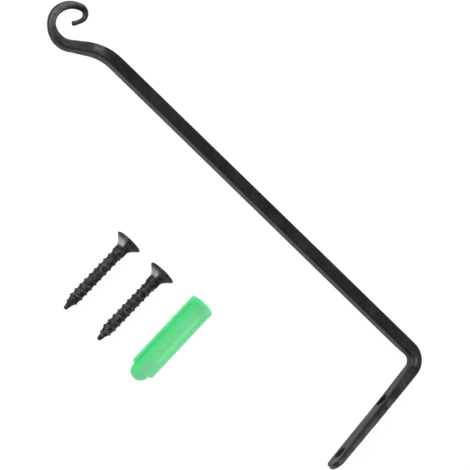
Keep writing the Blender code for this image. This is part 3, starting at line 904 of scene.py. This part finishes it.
def screw_recipe(inputs):
    """Spin the outline, raise the thread and cut the recess."""
    tree, given = new_recipe("wound_screw", inputs)
    wire = Wire(tree)
    note = wire.note
    outline = given["Geometry"].step("MeshToCurve")
    circle = {"Resolution": given["Sides"], "Radius": 1.0}
    ring = wire.node("GeometryNodeCurvePrimitiveCircle", None, circle)
    ring = ring.stamped("turn", wire.node("GeometryNodeSplineParameter") * math.tau)
    body = ring.step("CurveToMesh", **{"Profile Curve": outline})

    turn, depth = note("turn"), note("depth")
    turns = (depth - given["Shift"]) / given["Pitch"] + turn / math.tau + 0.5
    past = turns.maths("FRACT", turns) - 0.5
    slope = 1.0 - past.maths("ABSOLUTE", past) * 2.0 / given["Crest reach"]
    slope = slope.maths("MAXIMUM", slope, 0.0)
    crest = slope.maths("POWER", slope, given["Crest power"])
    radius = note("core") + note("thread") * crest
    x = radius * turn.maths("COSINE", turn)
    y = radius * turn.maths("SINE", turn)
    place = wire.node("ShaderNodeCombineXYZ", None, {"X": x, "Y": y, "Z": 0.0 - depth})
    body = body.step("SetPosition", Position=place)
    body = body.stamped("crest", crest * note("thread") / CREST_WHOLE)
    # The cone's painted highlight is kept to one side of the head.
    lit_side = turn.maths("COSINE", turn - given["Streak"]).rise(*HIGHLIGHT_COSINES)
    body = body.stamped("cone", note("cone") * lit_side)
    body = body.step("MergeByDistance", Distance=WELD)
    end_recipe(body.less(given["Recess"]), given["Finish"])
    return tree


screw_inputs = {
    "Sides": SCREW_SIDES, "Pitch": THREAD_PITCH, "Shift": THREAD_SHIFT, "Crest reach": CREST_REACH,
    "Crest power": CREST_POWER, "Streak": math.radians(HIGHLIGHT_TURN_DEG), "Recess": recess,
    "Finish": oxide,
}
winding = screw_recipe(screw_inputs)
print("recipe:", winding.name, "with", len(winding.nodes), "nodes")

# %% [markdown]
# ## Lay the screws down
#
# Both screws are the same, and each rests on its head's rim and its thread, so its axis leans a
# few degrees. They lie side by side with the same roll, and the lowest point of each is then set
# on the table.

# %% Lay the screws down
SCREW_PLACES = ((0.0233987, 0.0116584, 0.0070248), (0.0004987, 0.0103584, 0.0070248))
SCREW_HEADING_DEG = -0.2
SCREW_LEAN_DEG = 84.225
SCREW_ROLL_DEG = 30.0

screw_turn = turned_by(SCREW_HEADING_DEG, SCREW_LEAN_DEG, SCREW_ROLL_DEG)
for number, place in enumerate(SCREW_PLACES, start=1):
    points = [(radius, 0.0, -depth) for radius, depth in zip(outline_radius, outline_depth)]
    start = noted_mesh("screw_outline", points, False, {
        "core": outline_radius, "depth": outline_depth, "thread": thread_height, "cone": painted_cone_highlight,
    })
    laid = Matrix.Translation(place) @ screw_turn
    mesh = follow(winding, start, screw_inputs, laid, ("crest", "cone"))
    lowest = min(vertex.co.z for vertex in mesh.vertices)
    mesh.transform(Matrix.Translation((0, 0, -lowest)))
    title, body, node = (f"{word}_{number}" for word in ("threaded_screw", "screw", "wood_screw"))
    finish_piece(title, mesh, body, node)
bpy.data.objects.remove(recess, do_unlink=True)

# %% [markdown]
# ## Green plastic
#
# The plug is moulded in a soft translucent green. Light enters it, scatters and comes out beside
# where it went in, which is what Subsurface does. The colour is deeper in one band along the body,
# a painted shade, and paler along its other side, a painted light. The note "across", here from 0
# to 1, tells them apart. A share of the colour is given off as Emission, a painted glow which
# stands for the light that the white table sends through the plug.

# %% Green plastic
PLUG_PLACE = (-0.0256013, 0.0071584, 0.0066455)
PLUG_HEADING_DEG = -0.55
PLUG_LEAN_DEG = 87.533
# The deep green is painted shade. The pale green is painted light, and also the colour of the
# random clouding.
GREEN_BODY = (0.174, 0.694, 0.310)
GREEN_PAINTED_SHADE = (0.084, 0.690, 0.235)
GREEN_PALE_AND_PAINTED_LIGHT = (0.270, 0.880, 0.450)
# The Emission share is a painted glow for light that the table sends through the plug.
GREEN_SHARES = (("Base Color", 0.60), ("Emission Color", 0.405))
plug_place = Matrix.Translation(PLUG_PLACE) @ turned_by(PLUG_HEADING_DEG, PLUG_LEAN_DEG, 0.0)


def green_plastic():
    """Translucent green plastic with painted shade and painted light in bands along the plug, and a
    painted glow.
    """
    fixed = {
        "IOR": 1.5, "Specular IOR Level": 0.15, "Subsurface Weight": 0.8, "Subsurface Scale": 0.008,
        "Subsurface Radius": (0.5, 1.0, 0.7), "Metallic": 0.0, "Emission Strength": 1.0,
    }
    material, shader, wire, place = new_finish("translucent_green", fixed)
    cloud = noise(wire, place, 0.006, 2.0)
    fine = noise(wire, place, 0.0007, 2.0)
    across = mesh_note(wire, "across")
    # Painted shade in one band along the body, and painted light along its other side.
    painted_shade_band = across.rise(0.58, 0.76) * (1.0 - across.rise(0.92, 1.02))
    painted_light_side = 1.0 - across.rise(0.20, 0.60)
    for label, share in GREEN_SHARES:
        middle, shaded, pale_and_lit = (
            (red * share, green * share, blue * share, 1.0)
            for red, green, blue in (GREEN_BODY, GREEN_PAINTED_SHADE, GREEN_PALE_AND_PAINTED_LIGHT)
        )
        tint = blend(wire, painted_light_side, blend(wire, painted_shade_band * 0.9, middle, shaded), pale_and_lit)
        drive(shader, label, blend(wire, cloud.rise(0.3, 0.8) * 0.12, tint, pale_and_lit))
    drive(shader, "Roughness", 0.55 + (cloud - 0.5) * 0.10 + (fine - 0.5) * 0.06)
    drive(shader, "Normal", bumped(wire, fine, 0.00003))
    return material


green = green_plastic()
print("finish:", green.name)

# %% [markdown]
# ## The plug's body
#
# The plug is a round body with two fins that stop it from turning in the wall. Level by level from
# mouth to nose, its outline is half a circle on each side joined by the fins, which run out to the
# mouth's width and slope in above the nose. The levels are lofted into one skin.

# %% The plug's outlines
PLUG_LENGTH = 0.0500
PLUG_RADIUS = 0.0047
MOUTH_RADIUS = 0.0066
MOUTH_LENGTH = 0.0012
MOUTH_TAPER = 0.0040
MOUTH_ROUND = 0.0004
FIN_HALF = 0.0013
FIN_END = 0.0054
FIN_SLOPE = 0.0012
FIN_ROUND = 0.0005
ARC_POINTS = 28
FIN_POINTS = 6
FIN_ROUND_STEPS = 3
LEVEL_GAP = 0.00001


def plug_sizes(depth):
    """The body's radius and the fins' reach at a depth below the mouth."""
    to_nose = PLUG_LENGTH - depth
    radius = PLUG_RADIUS
    if to_nose < PLUG_RADIUS:
        radius = math.sqrt(max(0.0, PLUG_RADIUS ** 2 - (PLUG_RADIUS - to_nose) ** 2))
    mouth = min(1.0, max(0.0, (depth - MOUTH_LENGTH) / MOUTH_TAPER))
    if mouth < 1.0:
        mouth = mouth * mouth * (3 - 2 * mouth)
        radius = MOUTH_RADIUS + (PLUG_RADIUS - MOUTH_RADIUS) * mouth
    rim = min(1.0, depth / MOUTH_ROUND)
    radius -= MOUTH_ROUND * (1 - math.sqrt(1 - (1 - rim) ** 2))
    past = (depth - (PLUG_LENGTH - FIN_END - FIN_SLOPE)) / FIN_SLOPE
    reach = MOUTH_RADIUS - (MOUTH_RADIUS - radius) * min(1.0, max(0.0, past)) ** 2
    if depth < MOUTH_LENGTH / 2:
        reach = 0.0
    return radius, reach


def plug_outline(depth):
    """The closed outline of the plug at a depth, the same number of points at every depth."""
    radius, reach = plug_sizes(depth)
    half = min(FIN_HALF, radius * 0.9)
    meet = math.asin(half / radius)
    root = radius * math.cos(meet)
    reach = max(reach, root)
    turn_in = min(FIN_ROUND, (reach - root) / 2)
    quarter = []
    for step in range(ARC_POINTS + 1):
        angle = math.pi / 2 + (meet - math.pi / 2) * step / ARC_POINTS
        quarter.append((radius * math.cos(angle), radius * math.sin(angle)))
    for step in range(1, FIN_POINTS):
        quarter.append((root + (reach - turn_in - root) * step / FIN_POINTS, half))
    for step in range(FIN_ROUND_STEPS + 1):
        angle = math.pi / 2 * (1 - step / FIN_ROUND_STEPS)
        out = reach - turn_in + turn_in * math.cos(angle)
        quarter.append((out, half - min(turn_in, half) * (1 - math.sin(angle))))
    quarter.append((reach if reach > root + LEVEL_GAP else radius, 0.0))
    right = quarter + [(x, -y) for x, y in quarter[-2::-1]]
    left = [(-x, y) for x, y in right[-2:0:-1]]
    return [(x, y, -depth) for x, y in right + left]


print("points in a level:", len(plug_outline(0.01)))

# %% [markdown]
# ## Bore and slot
#
# The screw bites into a bore that stops short of the nose, and a narrow slot through both walls
# lets the plug spread. Both are cut from the lofted body with Boolean modifiers.

# %% Bore and slot
BORE_RADIUS = 0.0024
BORE_DEPTH = 0.0410
BORE_LIP = 0.0004
BORE_OVERRUN = 0.002
BORE_SIDES = 64
SLOT_HALF = 0.00045
SLOT_START = 0.0080
SLOT_LENGTH = 0.0290
SLOT_ROLL_DEG = 40.0
SLOT_END_STEPS = 8
BODY_START = 0.0058
NOSE_FLAT = 0.000004
SHARP_ANGLE_DEG = 38


def plug_levels():
    """Depths close together where the outline changes fast, and further apart on the body."""
    nose = PLUG_LENGTH - PLUG_RADIUS * (1 - np.cos(np.linspace(0, math.pi / 2, 18)))[::-1]
    fins = PLUG_LENGTH - FIN_END - FIN_SLOPE * np.linspace(1.1, -0.1, 12)
    levels = np.concatenate([
        np.linspace(0, MOUTH_ROUND, 6), (MOUTH_LENGTH / 2 - LEVEL_GAP, MOUTH_LENGTH / 2),
        np.linspace(MOUTH_LENGTH, MOUTH_LENGTH + MOUTH_TAPER, 14),
        np.linspace(BODY_START, PLUG_LENGTH - FIN_END - FIN_SLOPE * 1.2, 40), fins, nose,
    ])
    return np.unique(np.clip(levels, 0, PLUG_LENGTH - NOSE_FLAT).round(7))


def slot_mesh():
    """A thin bar with round ends, right through the plug."""
    wall = MOUTH_RADIUS * 1.5
    ends = []
    for end, way in ((SLOT_START, -1), (SLOT_START + SLOT_LENGTH, 1)):
        for step in range(SLOT_END_STEPS + 1):
            angle = math.pi * step / SLOT_END_STEPS
            depth = end + SLOT_HALF * math.sin(angle) * way
            ends.append((SLOT_HALF * math.cos(angle) * way, -depth))
    mesh = lofted("slot", [[(x, side, z) for x, z in ends] for side in (-wall, wall)])
    mesh.transform(turned_by(0, 0, SLOT_ROLL_DEG))
    return mesh


def make_plug():
    """Loft the body, cut the bore and the slot, and keep the result as a plain mesh."""
    outlines = [plug_outline(depth) for depth in plug_levels()]
    raw = add_object("plug_start", lofted("plug_body", outlines))
    bore = (
        (0.0, BORE_OVERRUN), (BORE_RADIUS + BORE_LIP + BORE_OVERRUN, BORE_OVERRUN),
        (BORE_RADIUS, -BORE_LIP), (BORE_RADIUS, BORE_RADIUS - BORE_DEPTH), (0.0, -BORE_DEPTH),
    )
    bore_mesh = turned_mesh("bore", bore, BORE_SIDES)
    cutters = [add_object("bore", bore_mesh), add_object("slot", slot_mesh())]
    for cutter in cutters:
        cut = raw.modifiers.new("cut", "BOOLEAN")
        cut.operation, cut.solver, cut.object = "DIFFERENCE", "EXACT", cutter
    mesh = evaluated(raw)
    for cutter in cutters:
        bpy.data.objects.remove(cutter, do_unlink=True)
    across = mesh.attributes.new("across", "FLOAT", "POINT")
    for vertex, value in zip(mesh.vertices, across.data):
        value.value = 0.5 + vertex.co.x / MOUTH_RADIUS / 2
    mesh.shade_smooth()
    mesh.set_sharp_from_angle(angle=math.radians(SHARP_ANGLE_DEG))
    mesh.materials.clear()
    mesh.materials.append(green)
    mesh.transform(plug_place)
    return mesh


plug = finish_piece("slotted_plug", make_plug(), "plug", "wall_plug")
print("plug box", [round(v, 4) for v in plug.dimensions])

# Three angles, the point in its middle and the width that it spans there say all of that.

# %% The camera
CAMERA_AZIMUTH_DEG = 46.566
CAMERA_ELEVATION_DEG = 68.423
CAMERA_ROLL_DEG = 87.54
CAMERA_TARGET = Vector((-0.014893, -0.030016, 0.004))
CAMERA_DISTANCE = 8.0
PICTURE_WIDTH = 0.229343
SENSOR_WIDTH = 36.0

turn = turned_by(CAMERA_AZIMUTH_DEG + 90, 90 - CAMERA_ELEVATION_DEG, CAMERA_ROLL_DEG)
lens = bpy.data.cameras.new("camera")
lens.sensor_width = SENSOR_WIDTH
lens.lens = SENSOR_WIDTH * CAMERA_DISTANCE / PICTURE_WIDTH
lens.clip_end = 20.0
camera = add_object("camera", lens)
away = Matrix.Translation((0, 0, CAMERA_DISTANCE))
camera.matrix_world = Matrix.Translation(CAMERA_TARGET) @ turn @ away
scene.camera = camera
scene.view_settings.view_transform = "Standard"
print("lens", round(lens.lens, 1), "mm at", CAMERA_DISTANCE, "m")

# %% [markdown] ## Table and background  The photograph's background is pure white. Reflections
# see about a third of that glow, because all of it would make the bar's sides too bright.

# %% Table and background
FLOOR_SIZE = 6.0
FLOOR_WHITE = (0.9, 0.9, 0.9, 1)
GLOW_STRENGTH = 1.12
GLOW_SHARE = 0.83
GLOSSY_GLOW = 0.36


def white_table():
    """Matt white that the camera, and in part reflections, see as a plain white glow."""
    material = bpy.data.materials.new("white_table")
    material.use_nodes = True
    tree = material.node_tree
    tree.nodes.clear()
    wire = Wire(tree)
    rays = wire.node("ShaderNodeLightPath").socket.node.outputs
    seen = Wire(tree, rays["Is Camera Ray"])
    seen = seen.maths("MAXIMUM", seen, Wire(tree, rays["Is Transmission Ray"]))
    seen = seen.maths("MAXIMUM", seen, Wire(tree, rays["Is Glossy Ray"]) * GLOSSY_GLOW)
    matt = wire.node("ShaderNodeBsdfDiffuse", None, {"Color": FLOOR_WHITE})
    glow = wire.node("ShaderNodeEmission", None, {"Strength": GLOW_STRENGTH})
    mix = wire.node("ShaderNodeMixShader", None, {0: seen * GLOW_SHARE, 1: matt, 2: glow})
    output = tree.nodes.new("ShaderNodeOutputMaterial")
    tree.links.new(mix.socket, output.inputs["Surface"])
    return material


floor_mesh = bpy.data.meshes.new("table")
half = FLOOR_SIZE / 2
floor_corners = [(-half, -half, 0), (half, -half, 0), (half, half, 0), (-half, half, 0)]
floor_mesh.from_pydata(floor_corners, [], [(0, 1, 2, 3)])
floor_mesh.materials.append(white_table())
floor = add_object("table", floor_mesh)
floor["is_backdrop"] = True
print("table", FLOOR_SIZE, "m across")

# The key lamp stands past the scroll, with a dimmer one to its left. A low one glances over the
# table from where the foot points, one hangs almost overhead, and two on the far side of the arm
# draw the bright lines along its edges. A lamp's power follows from its size and from how bright
# that surface should look. The sky adds a dim grey that is the same all round.

# %% Light
SKY_STRENGTH = 0.20


def strip_lamp(title, direction, distance, width, height, brightness):
    data = bpy.data.lights.new(title, "AREA")
    data.shape = "RECTANGLE"
    data.size, data.size_y = width, height
    data.energy = brightness * math.pi * width * height
    lamp = add_object(title, data)
    away = Vector(direction).normalized()
    lamp.location = away * distance
    lamp.rotation_mode = "QUATERNION"
    lamp.rotation_quaternion = away.to_track_quat("Z", "Y")
    return lamp


def grey_sky():
    """A plain grey sky that only the camera sees as white."""
    world = bpy.data.worlds.new("sky")
    world.use_nodes = True
    tree = world.node_tree
    background = tree.nodes["Background"]
    seen = Wire(tree).node("ShaderNodeLightPath", output="Is Camera Ray")
    strength = SKY_STRENGTH + seen * (1.0 - SKY_STRENGTH)
    background.inputs["Color"].default_value = (1, 1, 1, 1)
    tree.links.new(strength.socket, background.inputs["Strength"])
    return world


scene.world = grey_sky()
lamps = (
    strip_lamp("key", (1.0, -0.10, 0.75), 1.0, 0.6, 0.6, 2.8),
    strip_lamp("left", (0.75, 0.50, 0.60), 1.0, 0.8, 0.8, 1.6),
    strip_lamp("low", (0.45, 0.87, 0.14), 1.0, 0.30, 0.25, 3.5),
    strip_lamp("over", (0.25, 0.22, 0.94), 1.2, 0.40, 0.40, 2.2),
    strip_lamp("back", (0.24, -0.93, 0.30), 1.1, 1.0, 0.30, 6.5),
    strip_lamp("right", (-0.68, -0.62, 0.40), 1.0, 0.5, 0.4, 3.5),
)
print("lamps", [(lamp.name, round(lamp.data.energy, 1)) for lamp in lamps])

# %% Packed and dressed sizes
made_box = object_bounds()
packed_size, dressed_size = (high - low for low, high in (cad_box, made_box))
print("packed", packed_size.to_tuple(5), "dressed", dressed_size.to_tuple(5))
